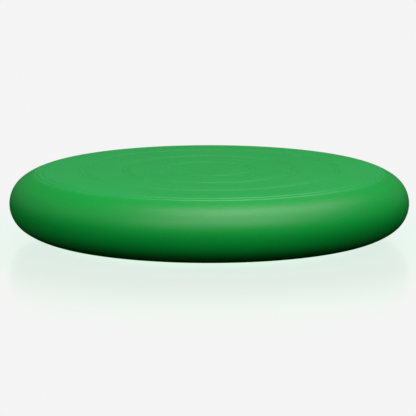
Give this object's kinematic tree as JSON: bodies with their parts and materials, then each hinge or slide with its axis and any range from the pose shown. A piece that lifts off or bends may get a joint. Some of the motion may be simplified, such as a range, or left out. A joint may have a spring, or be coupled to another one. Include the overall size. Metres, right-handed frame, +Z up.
{
  "type": "balance pad",
  "caption": "Round inflatable balance pad with concentric ring grooves on top, small nubs underneath and a plugged needle valve in its rim.",
  "frame": {"origin": "on the floor under the middle of the pad, at the level of the nub tips", "axes": "+Z up through the middle of the pad, +Y out along the valve in the back of the rim, +X to the right seen from the front"},
  "size_m": [0.33, 0.33, 0.0582],
  "materials": {
    "skin": "satin moulded soft PVC, green",
    "valve_rubber": "matt black rubber",
    "plug": "satin white moulded plastic"
  },
  "bodies": {
    "base": {"base_shell": "skin", "side_wall": "skin", "valve_sleeve": "valve_rubber", "valve_core": "valve_rubber"},
    "top": {"top_shell": "skin"},
    "plug": {"valve_plug": "plug"}
  },
  "joints": [
    {"name": "top_press", "type": "slide", "parent": "base", "child": "top", "axis": [0, 0, -1], "range_m": [0, 0.012], "stiffness_N_per_m": 50000, "deforming": ["side_wall"]},
    {"name": "plug_pull", "type": "slide", "parent": "base", "child": "plug", "axis": [0, 1, 0], "range_m": [0, 0.016]}
  ]
}
